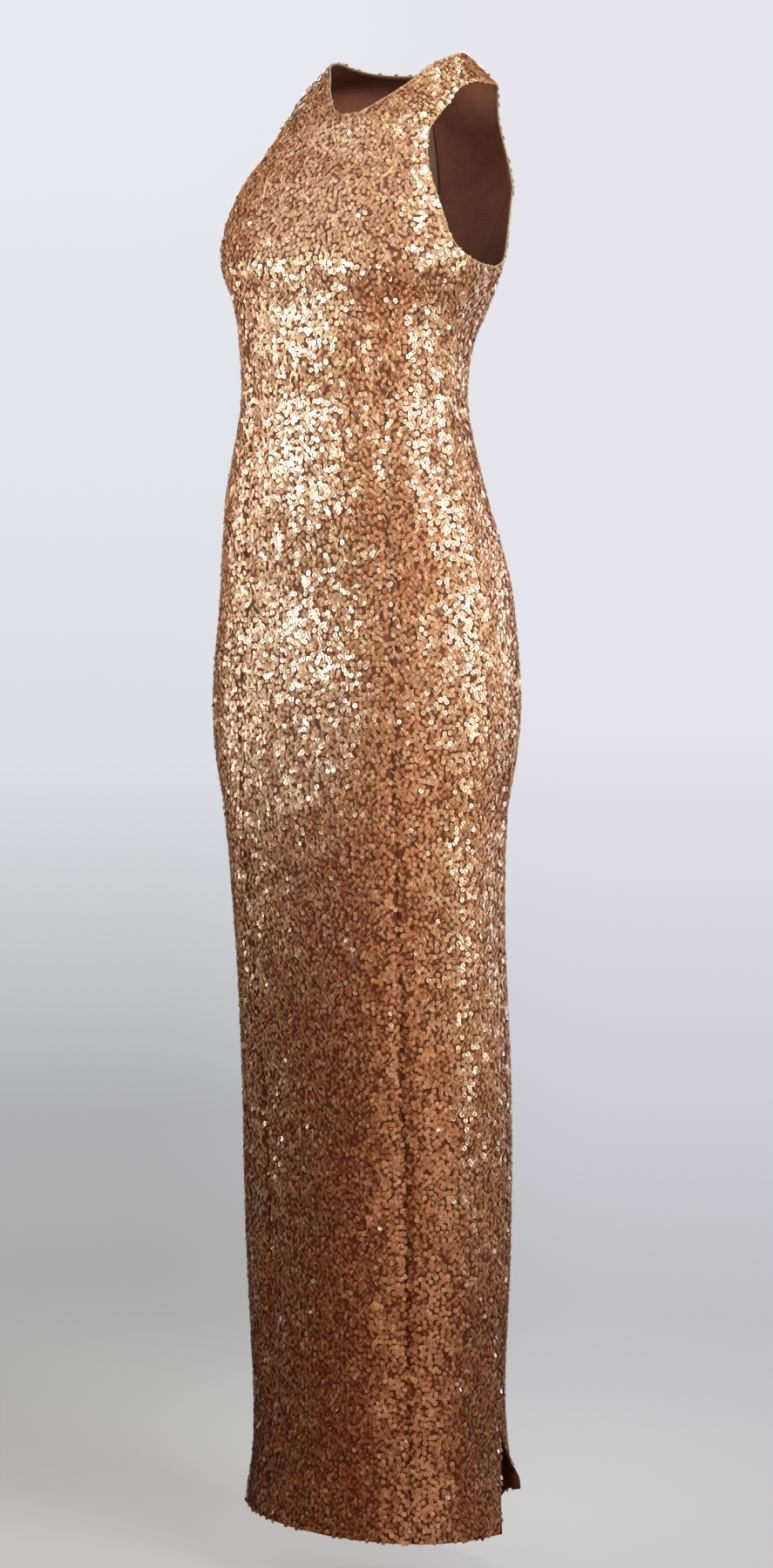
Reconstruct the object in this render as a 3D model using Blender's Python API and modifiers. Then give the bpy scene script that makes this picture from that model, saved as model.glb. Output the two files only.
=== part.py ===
"""Sleeveless floor-length sequin gown, worn and hollow, cut in seven panels with a centre back zip.

Metres, +Z up. The origin lies midway between the two shoulder seams at neck height, where a wearer
carries the gown. The front faces -Y and the wearer's left is +X.
"""

import math

import bmesh
import bpy
from mathutils import Matrix, Vector

# Driving dimensions
GOWN_LENGTH = 1.496          # shoulder seam at the neck down to the hem
WALL = 0.0015                # the beaded cloth and its backing
BACK_SQUARENESS = 2.1        # of the sections behind; 2 is an ellipse, more is squarer
SEAM_GAP = 0.0003            # between the cut edges of two panels
UNDERARM = -0.214            # lowest point of the armholes
SIDE_SEAM_TURN = math.radians(97)
SLIT_TOP = -1.385            # the side seams are open below this height
SLIT_SPREAD_FRONT = math.radians(12)
SLIT_SPREAD_BACK = math.radians(22)
CORNER_FLARE = 0.011         # how far the free slit corners curl out at the hem
BACK_CORNER_RISE = 0.029     # how much the back corners of the slits lift
BACK_RISE_SHARE = 0.6        # of the side back's width, over which that lift grows
RIGHT_HEM_RISE = 0.008       # how much higher the hem hangs on the wearer's right
RIGHT_SHOULDER_DROP = 0.006  # how much lower the wearer's right shoulder is
SHOULDER_DROP_DEPTH = 0.070  # the height over which that drop fades out

# The bust cups, shaped by the princess seams
CUP_X = 0.088
CUP_Z = -0.208
CUP_LIFT = 0.007
CUP_WIDTH = 0.042
CUP_HEIGHT = 0.050

# The figure that the cloth follows, one row for each level from the hem to the shoulder:
# height, half width, middle (y), depth in front of and behind the middle, squareness of the front,
# and how far the princess seams lie from the centre line in front and behind.
SECTIONS = [
    (-1.496, 0.1400, -0.0370, 0.1080, 0.0980, 2.5, 0.087, 0.076),
    (-1.430, 0.1350, -0.0345, 0.1070, 0.0980, 2.4, 0.081, 0.075),
    (-1.360, 0.1331, -0.0408, 0.1010, 0.1010, 2.3, 0.080, 0.075),
    (-1.200, 0.1411, -0.0431, 0.1010, 0.1030, 2.2, 0.080, 0.076),
    (-1.040, 0.1427, -0.0482, 0.1040, 0.1060, 2.2, 0.080, 0.077),
    (-0.880, 0.1420, -0.0630, 0.1080, 0.1100, 2.2, 0.085, 0.079),
    (-0.760, 0.1477, -0.0713, 0.1130, 0.1170, 2.2, 0.087, 0.080),
    (-0.700, 0.1590, -0.0715, 0.1130, 0.1180, 2.2, 0.087, 0.080),
    (-0.640, 0.1628, -0.0697, 0.1130, 0.1170, 2.2, 0.087, 0.079),
    (-0.540, 0.1547, -0.0700, 0.1060, 0.1080, 2.2, 0.081, 0.074),
    (-0.490, 0.1475, -0.0790, 0.1000, 0.1030, 2.2, 0.079, 0.070),
    (-0.440, 0.1369, -0.0900, 0.0940, 0.0980, 2.2, 0.078, 0.066),
    (-0.350, 0.1172, -0.0935, 0.0890, 0.0900, 2.2, 0.078, 0.060),
    (-0.290, 0.1185, -0.0890, 0.0980, 0.1000, 2.2, 0.082, 0.064),
    (-0.250, 0.1300, -0.0790, 0.1040, 0.1100, 2.2, 0.084, 0.070),
    (-0.205, 0.1450, -0.0800, 0.1080, 0.1270, 2.2, 0.089, 0.082),
    (-0.133, 0.1500, -0.0420, 0.1160, 0.0980, 2.2, 0.109, 0.117),
    (-0.100, 0.1400, -0.0200, 0.1120, 0.0740, 2.2, 0.115, 0.117),
    (-0.067, 0.1180, -0.0030, 0.1090, 0.0510, 2.1, 0.110, 0.112),
    (-0.031, 0.1040, 0.0080, 0.0790, 0.0330, 2.1, 0.100, 0.100),
    (0.000, 0.0735, 0.0000, 0.0450, 0.0280, 2.1, 0.070, 0.070),
]

# The yokes, one row for each step up from the chest to the shoulder seam: the inner edge runs up the
# centre line and then along the neckline, the outer edge along the armhole. x and height of each.
FRONT_YOKE = [
    (0.0000, -0.1330, 0.1090, -0.1330),
    (0.0000, -0.0990, 0.0940, -0.1050),
    (0.0000, -0.0635, 0.0856, -0.0800),
    (0.0140, -0.0605, 0.0858, -0.0660),
    (0.0290, -0.0480, 0.0885, -0.0500),
    (0.0445, -0.0321, 0.0890, -0.0375),
    (0.0565, -0.0150, 0.0950, -0.0283),
    (0.0735, 0.0000, 0.1040, -0.0300),
]
BACK_YOKE = [
    (0.0000, -0.1330, 0.1170, -0.1330),
    (0.0000, -0.0750, 0.1060, -0.1020),
    (0.0000, -0.0190, 0.1000, -0.0780),
    (0.0190, -0.0180, 0.0985, -0.0620),
    (0.0370, -0.0150, 0.0985, -0.0490),
    (0.0530, -0.0105, 0.0990, -0.0390),
    (0.0660, -0.0050, 0.1010, -0.0330),
    (0.0735, 0.0000, 0.1040, -0.0300),
]
NECK_ROW = 2                 # the yoke row where the inner edge leaves the centre line

# Height of the armhole edge across each side panel, from the princess seam to the side seam
ARMHOLE_FRONT = [(0.00, -0.1330), (0.19, -0.1570), (0.42, -0.1880), (0.68, -0.2060), (1.00, UNDERARM)]
ARMHOLE_BACK = [(0.00, -0.1330), (0.20, -0.1600), (0.45, -0.1890), (0.70, -0.2060), (1.00, UNDERARM)]

# Mesh rows: the skirt is nearly straight, the bodice curves more
SKIRT_TOP = -0.660
SKIRT_ROWS = 17
BODICE_ROWS = 19
YOKE_STEPS = 2               # mesh rows for each row of a yoke table
SHOULDER_ROWS = (0.70, 0.90, 0.98)  # more rows in a yoke's last step, where it rounds over the shoulder
CENTRE_COLUMNS = 5
SIDE_COLUMNS = 5

# The zip
ZIP_BOTTOM = -0.600
ZIP_TAPE_THICK = 0.0010
SLIDER_Z = -0.034
SLIDER_SIZE = (0.0070, 0.0022, 0.0110)
CHEEK_SIZE = (0.0012, 0.0040, 0.0034)
BAR_RADIUS = 0.0008
KNUCKLE_BORE = 0.0012
KNUCKLE_RADIUS = 0.0019
KNUCKLE_LENGTH = 0.0038
PULL_LENGTH = 0.0240
PULL_WIDTH = 0.0052
PULL_THICK = 0.0014
PULL_TOP = 0.0026            # from the bar to the top of the tab's plate
NECK_SHARE = 0.9             # the tab's neck as a share of the knuckle's length and the plate's thickness
CHEEK_SEAT = 0.0004          # how deep the cheeks are set into the slider's body
ROUND_SIDES = 20

# Small steps for measuring slopes
HEIGHT_STEP = 0.0005
TURN_STEP = 0.001

COLOURS = {
    "sequin_cloth": ((0.46, 0.24, 0.13), 0.38, 0.55),
    "zip_cloth": ((0.30, 0.17, 0.10), 0.85, 0.0),
    "zip_metal": ((0.62, 0.44, 0.26), 0.30, 1.0),
}


def clear_scene():
    """Remove whatever the file holds, so that the gown is alone."""
    for old in list(bpy.data.objects):
        bpy.data.objects.remove(old, do_unlink=True)


def make_collection(name):
    """A collection linked to the scene."""
    collection = bpy.data.collections.new(name)
    bpy.context.scene.collection.children.link(collection)
    return collection


def make_material(name):
    """A plain Principled material from the colour table."""
    colour, roughness, metallic = COLOURS[name]
    material = bpy.data.materials.new(name)
    material.use_nodes = True
    shader = material.node_tree.nodes["Principled BSDF"]
    shader.inputs["Base Color"].default_value = (*colour, 1.0)
    shader.inputs["Roughness"].default_value = roughness
    shader.inputs["Metallic"].default_value = metallic
    return material


def blend(rows, key):
    """Read a table at a key in its first column, on a smooth curve through its rows."""
    last = len(rows) - 2
    low = 0
    while low < last and key > rows[low + 1][0]:
        low += 1
    start, end = rows[low], rows[low + 1]
    before = rows[max(low - 1, 0)]
    after = rows[min(low + 2, len(rows) - 1)]
    span = end[0] - start[0]
    t = (key - start[0]) / span
    values = []
    for column in range(1, len(start)):
        slope_in = (end[column] - before[column]) / (end[0] - before[0]) * span
        slope_out = (after[column] - start[column]) / (after[0] - start[0]) * span
        hold = 2 * t**3 - 3 * t**2 + 1
        values.append(hold * start[column] + (1 - hold) * end[column]
                      + (t**3 - 2 * t**2 + t) * slope_in + (t**3 - t**2) * slope_out)
    return values


def surface(turn, height):
    """The outside of the gown. turn is 0 at the centre front, 90 degrees at the wearer's left side
    and 180 degrees at the centre back; negative turns go round the wearer's right side."""
    half, middle, front, back, square, _, _ = blend(SECTIONS, height)
    sine, cosine = math.sin(turn), math.cos(turn)
    power = 2 / (square if cosine > 0 else BACK_SQUARENESS)
    depth = front if cosine > 0 else back
    x = half * math.copysign(abs(sine) ** power, sine)
    y = middle - depth * math.copysign(abs(cosine) ** power, cosine)
    if cosine > 0:
        reach = ((abs(x) - CUP_X) / CUP_WIDTH) ** 2 + ((height - CUP_Z) / CUP_HEIGHT) ** 2
        y -= CUP_LIFT * math.exp(-reach) * cosine
    return Vector((x, y, height))


def outward(turn, height):
    """Unit normal of the outside."""
    low = min(height, -2 * HEIGHT_STEP)
    across = surface(turn + TURN_STEP, low) - surface(turn - TURN_STEP, low)
    up = surface(turn, low + HEIGHT_STEP) - surface(turn, low - HEIGHT_STEP)
    return across.cross(up).normalized()


def turn_at(x, height, behind=False):
    """The turn at which the surface lies x from the centre line."""
    half, _, _, _, square, _, _ = blend(SECTIONS, height)
    power = BACK_SQUARENESS if behind else square
    turn = math.asin(min(1.0, (x / half) ** (power / 2)))
    return math.pi - turn if behind else turn


def seam_turn(height, behind=False):
    """The turn of the princess seam in front, or of the one behind."""
    row = blend(SECTIONS, height)
    return turn_at(row[6] if behind else row[5], height, behind)


def seam_shift(turn, height):
    """Half the seam gap, as a turn."""
    low = min(height, -HEIGHT_STEP)
    ahead = surface(turn + TURN_STEP, low) - surface(turn - TURN_STEP, low)
    pace = ahead.length / (2 * TURN_STEP)
    return SEAM_GAP / 2 / pace


def even_heights():
    """Mesh row heights from the hem to the foot of the yokes."""
    hem, yoke = -GOWN_LENGTH, FRONT_YOKE[0][1]
    heights = [hem + (SKIRT_TOP - hem) * k / SKIRT_ROWS for k in range(SKIRT_ROWS)]
    heights += [SKIRT_TOP + (yoke - SKIRT_TOP) * k / BODICE_ROWS for k in range(BODICE_ROWS + 1)]
    return heights


def crowded(count):
    """Fractions from 0 to 1 that stand closer together near both ends, where the seams are."""
    return [0.5 - 0.5 * math.cos(math.pi * k / count) for k in range(count + 1)]


def smooth(value):
    """Ease from 0 to 1."""
    value = min(1.0, max(0.0, value))
    return value * value * (3 - 2 * value)


def near_hem(height):
    """Ease from 0 at the top of the slits to 1 at the hem."""
    return smooth((SLIT_TOP - height) / (SLIT_TOP + GOWN_LENGTH))


def centre_rows(yoke, behind):
    """Rows of a centre panel's half: the inner and outer ends as (turn, height), from hem to shoulder.
    The neckline is level where it crosses the centre line, so its mirrored row stands before it."""
    middle = math.pi if behind else 0.0
    rows = []
    for height in even_heights():
        rows.append(((middle, height), (seam_turn(height, behind), height)))
    table = [(k, *row) for k, row in enumerate(yoke)]
    _, next_x, next_z, _, _ = table[NECK_ROW + 1]
    below = table[:NECK_ROW + 1]
    above = [(NECK_ROW - 1, -next_x, next_z, 0, 0), *table[NECK_ROW:]]
    steps = [k / YOKE_STEPS for k in range(1, (len(table) - 1) * YOKE_STEPS + 1)]
    steps[-1:-1] = [len(table) - 2 + share for share in SHOULDER_ROWS]
    for step in steps:
        part = below if step <= NECK_ROW else above
        inner_x, inner_z, _, _ = blend(part, step)
        if step <= NECK_ROW:
            inner_x = 0.0
        _, _, outer_x, outer_z = blend(table, step)
        inner = (turn_at(inner_x, inner_z, behind), inner_z)
        outer = (turn_at(outer_x, outer_z, behind), outer_z)
        rows.append((inner, outer))
    return rows


def between(inner, outer, u):
    """A point of a mesh row, u of the way from its inner to its outer end, as (turn, height)."""
    return tuple(a + (b - a) * u for a, b in zip(inner, outer))


def trim(turn, height, sign):
    """Move an edge point off its seam by half the seam gap."""
    return turn + sign * seam_shift(turn, height), height


def side_point(u, t_row, behind):
    """A point of a side panel, u from the princess seam to the side seam, on mesh row t_row (0 to 1).
    Below the slit's top the free edge draws back from the side seam and curls out."""
    armhole = ARMHOLE_BACK if behind else ARMHOLE_FRONT
    top = blend(armhole, u)[0]
    yoke = FRONT_YOKE[0][1]
    bodice_share = (t_row - SKIRT_TOP) / (yoke - SKIRT_TOP)
    height = t_row if t_row < SKIRT_TOP else SKIRT_TOP + (top - SKIRT_TOP) * bodice_share
    sign = -1 if behind else 1
    inner = seam_turn(height, behind) + sign * seam_shift(seam_turn(height, behind), height)
    outer = SIDE_SEAM_TURN - sign * seam_shift(SIDE_SEAM_TURN, height)
    turn = inner + (outer - inner) * u
    open_by = near_hem(height)
    edge = u ** 3
    turn -= sign * (SLIT_SPREAD_BACK if behind else SLIT_SPREAD_FRONT) * open_by * edge
    point = surface(turn, height) + outward(turn, height) * CORNER_FLARE * open_by**2 * edge
    if behind:
        point.z += BACK_CORNER_RISE * open_by**2 * smooth(u / BACK_RISE_SHARE)
    return point


def add_object(name, mesh, material, collection):
    """Link a mesh as a named object with its material."""
    mesh.materials.append(material)
    made = bpy.data.objects.new(name, mesh)
    collection.objects.link(made)
    return made


def add_wall(made, thickness=WALL):
    """Give an open surface its wall, inwards."""
    solid = made.modifiers.new("wall", "SOLIDIFY")
    solid.thickness = thickness
    solid.offset = -1.0
    solid.use_even_offset = False
    return made


def sheet(name, grid, flip, material, collection):
    """An open sheet of quads from a grid of points, with its wall."""
    shape = bmesh.new()
    rows = [[shape.verts.new(point) for point in row] for row in grid]
    for lower, upper in zip(rows, rows[1:]):
        for k in range(len(lower) - 1):
            corners = [lower[k], lower[k + 1], upper[k + 1], upper[k]]
            shape.faces.new(corners[::-1] if flip else corners)
    mesh = bpy.data.meshes.new(name)
    shape.to_mesh(mesh)
    shape.free()
    mesh.shade_smooth()
    return add_wall(add_object(name, mesh, material, collection))


def mirror(point, side):
    """The same point on the wearer's left (side 1) or right (side -1), where the hem hangs a little
    higher and the shoulder a little lower."""
    if side > 0:
        return point.copy()
    rise = RIGHT_HEM_RISE * near_hem(point.z) * point.x / SECTIONS[0][1]
    aside = smooth(point.x / SECTIONS[-1][1])
    drop = RIGHT_SHOULDER_DROP * aside * smooth(1 + point.z / SHOULDER_DROP_DEPTH)
    return Vector((-point.x, point.y, point.z + rise - drop))


def front_centre(material, collection):
    """Centre front: both halves share the centre line up to the neckline and part there."""
    rows = centre_rows(FRONT_YOKE, behind=False)
    columns = [math.sin(math.pi / 2 * k / CENTRE_COLUMNS) for k in range(CENTRE_COLUMNS + 1)]
    body_rows = len(even_heights())
    neck = body_rows - 1 + NECK_ROW * YOKE_STEPS
    shape = bmesh.new()
    made = {}
    for r, (inner, outer) in enumerate(rows):
        is_shoulder = r == len(rows) - 1
        if is_shoulder:
            inner, outer = trim(*inner, -1), trim(*outer, -1)
        elif r < body_rows:
            outer = trim(*outer, -1)
        for k, u in enumerate(columns):
            point = surface(*between(inner, outer, u))
            for side in (1, -1):
                if k == 0 and r <= neck:
                    made[side, r, k] = made.get((1, r, k)) or shape.verts.new(point)
                else:
                    made[side, r, k] = shape.verts.new(mirror(point, side))
    for side in (1, -1):
        for r in range(len(rows) - 1):
            for k in range(CENTRE_COLUMNS):
                corners = [made[side, r, k], made[side, r, k + 1],
                           made[side, r + 1, k + 1], made[side, r + 1, k]]
                shape.faces.new(corners if side > 0 else corners[::-1])
    mesh = bpy.data.meshes.new("front_centre")
    shape.to_mesh(mesh)
    shape.free()
    mesh.shade_smooth()
    return add_wall(add_object("front_centre", mesh, material, collection))


def back_centre(name, side, material, collection):
    """One centre back, from the zip to the back princess seam and up to the shoulder seam."""
    rows = centre_rows(BACK_YOKE, behind=True)
    body_rows = len(even_heights())
    neck = body_rows - 1 + NECK_ROW * YOKE_STEPS
    grid = []
    for r, (inner, outer) in enumerate(rows):
        if r <= neck or r == len(rows) - 1:
            inner = trim(*inner, -1 if r <= neck else 1)
        if r < body_rows or r == len(rows) - 1:
            outer = trim(*outer, 1)
        points = [surface(*between(inner, outer, u)) for u in crowded(CENTRE_COLUMNS)]
        grid.append([mirror(point, side) for point in points])
    return sheet(name, grid, side > 0, material, collection)


def side_panel(name, side, behind, material, collection):
    """One side front or side back, from its princess seam to the side seam, up to the armhole."""
    grid = []
    for height in even_heights():
        points = [side_point(u, height, behind) for u in crowded(SIDE_COLUMNS)]
        grid.append([mirror(point, side) for point in points])
    return sheet(name, grid, (side > 0) == behind, material, collection)


def zip_tape(material, collection):
    """The zip's tape, from the back panels' points moved inside, from the neck to below the hips."""
    depth = WALL + 2 * SEAM_GAP
    rows = centre_rows(BACK_YOKE, behind=True)
    neck = len(even_heights()) - 1 + NECK_ROW * YOKE_STEPS
    width = crowded(CENTRE_COLUMNS)[1]
    grid = []
    for inner, outer in rows[:neck + 1]:
        if inner[1] < ZIP_BOTTOM:
            continue
        ends = [between(inner, outer, share * width) for share in (1.0, 0.5)]
        edge, half = [surface(*end) - outward(*end) * depth for end in ends]
        middle = surface(*inner) - outward(*inner) * depth
        grid.append([mirror(edge, 1), mirror(half, 1), middle, mirror(half, -1), mirror(edge, -1)])
    tape = sheet("zip_tape", grid, False, material, collection)
    tape.modifiers["wall"].thickness = ZIP_TAPE_THICK
    return tape


def box(shape, size, place):
    """A box in a bmesh, by its size and centre."""
    made = bmesh.ops.create_cube(shape, size=1.0)["verts"]
    bmesh.ops.transform(shape, matrix=Matrix.Translation(place) @ Matrix.Diagonal((*size, 1.0)), verts=made)


def rod(shape, radius, length):
    """A round rod along X through the origin."""
    made = bmesh.ops.create_cone(shape, cap_ends=True, segments=ROUND_SIDES, radius1=radius,
                                 radius2=radius, depth=length)["verts"]
    bmesh.ops.transform(shape, matrix=Matrix.Rotation(math.pi / 2, 4, "Y"), verts=made)


def shape_object(name, build, material, collection):
    """An object from a function that fills a bmesh."""
    shape = bmesh.new()
    build(shape)
    mesh = bpy.data.meshes.new(name)
    shape.to_mesh(mesh)
    shape.free()
    return add_object(name, mesh, material, collection)


def boolean(made, tool, operation):
    """Join to or cut from one object with another, which becomes a hidden cutter."""
    step = made.modifiers.new(tool.name, "BOOLEAN")
    step.operation = operation
    step.object = tool
    tool.hide_render = True
    tool.display_type = "WIRE"


def zip_hardware(material, parts, cutters):
    """The slider with its bar between two cheeks, and the pull tab that swings on the bar."""
    seat = surface(math.pi, SLIDER_Z)
    normal = outward(math.pi, SLIDER_Z)
    lean = math.atan2(-normal.z, normal.y)
    base = SEAM_GAP + SLIDER_SIZE[1] / 2
    bar = SEAM_GAP + SLIDER_SIZE[1] + KNUCKLE_RADIUS + SEAM_GAP
    cheek_x = SLIDER_SIZE[0] / 2 - CHEEK_SIZE[0] / 2
    cheek_y = SEAM_GAP + SLIDER_SIZE[1] + CHEEK_SIZE[1] / 2 - CHEEK_SEAT

    def slider_body(shape):
        box(shape, SLIDER_SIZE, Vector((0, base - bar, 0)))

    def cheeks(shape):
        for side in (1, -1):
            box(shape, CHEEK_SIZE, Vector((side * cheek_x, cheek_y - bar, 0)))

    def bar_rod(shape):
        rod(shape, BAR_RADIUS, SLIDER_SIZE[0] - CHEEK_SIZE[0])

    def knuckle(shape):
        rod(shape, KNUCKLE_RADIUS, KNUCKLE_LENGTH)

    def knuckle_bore(shape):
        rod(shape, KNUCKLE_BORE, KNUCKLE_LENGTH * 2)

    def pull_tab(shape):
        box(shape, (PULL_WIDTH, PULL_THICK, PULL_LENGTH - PULL_TOP),
            Vector((0, 0, -(PULL_LENGTH + PULL_TOP) / 2)))

    def pull_neck(shape):
        box(shape, (KNUCKLE_LENGTH * NECK_SHARE, PULL_THICK * NECK_SHARE, PULL_TOP + KNUCKLE_RADIUS / 2),
            Vector((0, 0, -(PULL_TOP + KNUCKLE_RADIUS) / 2)))

    slider = shape_object("zip_slider", slider_body, material, parts)
    pull = shape_object("zip_pull", knuckle, material, parts)
    tools = [shape_object("slider_cheeks", cheeks, material, cutters),
             shape_object("slider_bar", bar_rod, material, cutters),
             shape_object("pull_neck", pull_neck, material, cutters),
             shape_object("pull_tab", pull_tab, material, cutters),
             shape_object("knuckle_bore", knuckle_bore, material, cutters)]
    boolean(slider, tools[0], "UNION")
    boolean(slider, tools[1], "UNION")
    boolean(pull, tools[2], "UNION")
    boolean(pull, tools[3], "UNION")
    boolean(pull, tools[4], "DIFFERENCE")
    for made in [slider, pull, *tools]:
        made.location = seat + normal * bar
        made.rotation_euler = (-lean, 0, 0)


def main():
    """Build the gown."""
    clear_scene()
    parts = make_collection("sequin_gown")
    cutters = make_collection("cutters")
    cloth = make_material("sequin_cloth")
    front_centre(cloth, parts)
    for name, side in (("left", 1), ("right", -1)):
        side_panel("front_side_" + name, side, False, cloth, parts)
        side_panel("back_side_" + name, side, True, cloth, parts)
        back_centre("back_centre_" + name, side, cloth, parts)
    zip_tape(make_material("zip_cloth"), parts)
    zip_hardware(make_material("zip_metal"), parts, cutters)


main()
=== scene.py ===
# %% [markdown]
# # A sequin gown
# The gown is already built as plain panels, packed in a fixed frame. This lesson dresses it: finer panels
# on the same form, sequins and threads sewn on with Geometry Nodes, and a studio to look at it in. We start
# by loading the frame. Everything is in metres, +Z is up and the gown's front faces -Y.

import functools
import math

import bmesh
import bpy
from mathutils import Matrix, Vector


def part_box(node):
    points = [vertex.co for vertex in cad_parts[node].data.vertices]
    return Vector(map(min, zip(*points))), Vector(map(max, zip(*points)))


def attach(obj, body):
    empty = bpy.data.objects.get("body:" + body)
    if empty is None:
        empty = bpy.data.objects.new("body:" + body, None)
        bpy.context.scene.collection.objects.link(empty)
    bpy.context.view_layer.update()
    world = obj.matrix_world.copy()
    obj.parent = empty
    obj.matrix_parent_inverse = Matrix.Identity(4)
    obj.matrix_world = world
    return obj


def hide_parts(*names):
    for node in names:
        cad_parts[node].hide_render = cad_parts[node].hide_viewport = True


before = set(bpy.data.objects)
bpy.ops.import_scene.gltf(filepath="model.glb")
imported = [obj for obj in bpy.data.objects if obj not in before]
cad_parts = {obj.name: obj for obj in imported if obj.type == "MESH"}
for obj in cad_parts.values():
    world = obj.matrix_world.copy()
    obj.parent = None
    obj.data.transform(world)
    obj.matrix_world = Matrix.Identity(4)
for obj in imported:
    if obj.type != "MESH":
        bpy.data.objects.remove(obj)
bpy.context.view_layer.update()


# %% Two helpers
def place(name, data):
    """A new object in the scene."""
    made = bpy.data.objects.new(name, data)
    bpy.context.scene.collection.objects.link(made)
    return made


def to_mesh(name, shape):
    """A mesh from an edited shape, which is freed."""
    mesh = bpy.data.meshes.new(name)
    shape.to_mesh(mesh)
    shape.free()
    return mesh


print("helpers ready")

# %% [markdown]
# ## The form under the cloth
# A close-fitting gown takes the form that it is worn on. Lofting a few level sections is the usual way to
# describe such a form, because each row is a size that a dressmaker could measure. Rows: height, half width,
# middle (y), depth in front of and behind the middle, squareness of the front, and how far the princess
# seams lie from the centre line in front and behind.

# %% Sections of the form
GOWN_LENGTH = 1.496
BACK_SQUARENESS = 2.1
SECTIONS = [
    (-1.496, 0.1400, -0.0370, 0.1080, 0.0980, 2.5, 0.087, 0.076),
    (-1.430, 0.1350, -0.0345, 0.1070, 0.0980, 2.4, 0.081, 0.075),
    (-1.360, 0.1331, -0.0408, 0.1010, 0.1010, 2.3, 0.080, 0.075),
    (-1.200, 0.1411, -0.0431, 0.1010, 0.1030, 2.2, 0.080, 0.076),
    (-1.040, 0.1427, -0.0482, 0.1040, 0.1060, 2.2, 0.080, 0.077),
    (-0.880, 0.1420, -0.0630, 0.1080, 0.1100, 2.2, 0.085, 0.079),
    (-0.760, 0.1477, -0.0713, 0.1130, 0.1170, 2.2, 0.087, 0.080),
    (-0.700, 0.1590, -0.0715, 0.1130, 0.1180, 2.2, 0.087, 0.080),
    (-0.640, 0.1628, -0.0697, 0.1130, 0.1170, 2.2, 0.087, 0.079),
    (-0.540, 0.1547, -0.0700, 0.1060, 0.1080, 2.2, 0.081, 0.074),
    (-0.490, 0.1475, -0.0790, 0.1000, 0.1030, 2.2, 0.079, 0.070),
    (-0.440, 0.1369, -0.0900, 0.0940, 0.0980, 2.2, 0.078, 0.066),
    (-0.350, 0.1172, -0.0935, 0.0890, 0.0900, 2.2, 0.078, 0.060),
    (-0.290, 0.1185, -0.0890, 0.0980, 0.1000, 2.2, 0.082, 0.064),
    (-0.250, 0.1300, -0.0790, 0.1040, 0.1100, 2.2, 0.084, 0.070),
    (-0.205, 0.1450, -0.0800, 0.1080, 0.1270, 2.2, 0.089, 0.082),
    (-0.133, 0.1500, -0.0420, 0.1160, 0.0980, 2.2, 0.109, 0.117),
    (-0.100, 0.1400, -0.0200, 0.1120, 0.0740, 2.2, 0.115, 0.117),
    (-0.067, 0.1180, -0.0030, 0.1090, 0.0510, 2.1, 0.110, 0.112),
    (-0.031, 0.1040, 0.0080, 0.0790, 0.0330, 2.1, 0.100, 0.100),
    (0.000, 0.0735, 0.0000, 0.0450, 0.0280, 2.1, 0.070, 0.070),
]
print("sections:", len(SECTIONS), "from the hem at", SECTIONS[0][0], "to the shoulder at", SECTIONS[-1][0])


# %% Read a table on a smooth curve
def blend(rows, key):
    """Read a table at a key in its first column, on a smooth curve through its rows."""
    last = len(rows) - 2
    low = 0
    while low < last and key > rows[low + 1][0]:
        low += 1
    start, end = rows[low], rows[low + 1]
    before = rows[max(low - 1, 0)]
    after = rows[min(low + 2, len(rows) - 1)]
    span = end[0] - start[0]
    t = (key - start[0]) / span
    hold = 2 * t**3 - 3 * t**2 + 1
    values = []
    for column in range(1, len(start)):
        slope_in = (end[column] - before[column]) / (end[0] - before[0]) * span
        slope_out = (after[column] - start[column]) / (after[0] - start[0]) * span
        values.append(hold * start[column] + (1 - hold) * end[column]
                      + (t**3 - 2 * t**2 + t) * slope_in + (t**3 - t**2) * slope_out)
    return values


@functools.cache
def section(height):
    """The form's section at a height."""
    return blend(SECTIONS, height)


def smooth(value):
    """Ease from 0 to 1."""
    value = min(1.0, max(0.0, value))
    return value * value * (3 - 2 * value)


print("half width at the waist:", round(section(-0.35)[0], 4))

# %% [markdown]
# ## Round the form
# A point of the gown is named by its turn round the body and its height. A superellipse through the section
# gives the place. The bust cups, which the princess seams shape, are a soft swelling on top of that.

# %% Places on the form
CUP_X = 0.088
CUP_Z = -0.208
CUP_LIFT = 0.007
CUP_WIDTH = 0.042
CUP_HEIGHT = 0.050
HEIGHT_STEP = 0.0005
TURN_STEP = 0.001


def form(turn, height):
    """A point of the form. turn is 0 at the centre front and 90 degrees at the wearer's left side."""
    half, middle, front, back, square, _, _ = section(height)
    sine, cosine = math.sin(turn), math.cos(turn)
    power = 2 / (square if cosine > 0 else BACK_SQUARENESS)
    depth = front if cosine > 0 else back
    x = half * math.copysign(abs(sine) ** power, sine)
    y = middle - depth * math.copysign(abs(cosine) ** power, cosine)
    if cosine > 0:
        reach = ((abs(x) - CUP_X) / CUP_WIDTH) ** 2 + ((height - CUP_Z) / CUP_HEIGHT) ** 2
        y -= CUP_LIFT * math.exp(-reach) * cosine
    return Vector((x, y, height))


def outward(turn, height):
    """Unit normal of the form."""
    low = min(height, -2 * HEIGHT_STEP)
    across = form(turn + TURN_STEP, low) - form(turn - TURN_STEP, low)
    up = form(turn, low + HEIGHT_STEP) - form(turn, low - HEIGHT_STEP)
    return across.cross(up).normalized()


def turn_at(x, height, behind=False):
    """The turn at which the form lies x from the centre line."""
    half, _, _, _, square, _, _ = section(height)
    power = BACK_SQUARENESS if behind else square
    turn = math.asin(min(1.0, (x / half) ** (power / 2)))
    return math.pi - turn if behind else turn


def seam_turn(height, behind=False):
    """The turn of the princess seam in front, or of the one behind."""
    row = section(height)
    return turn_at(row[6] if behind else row[5], height, behind)


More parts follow.
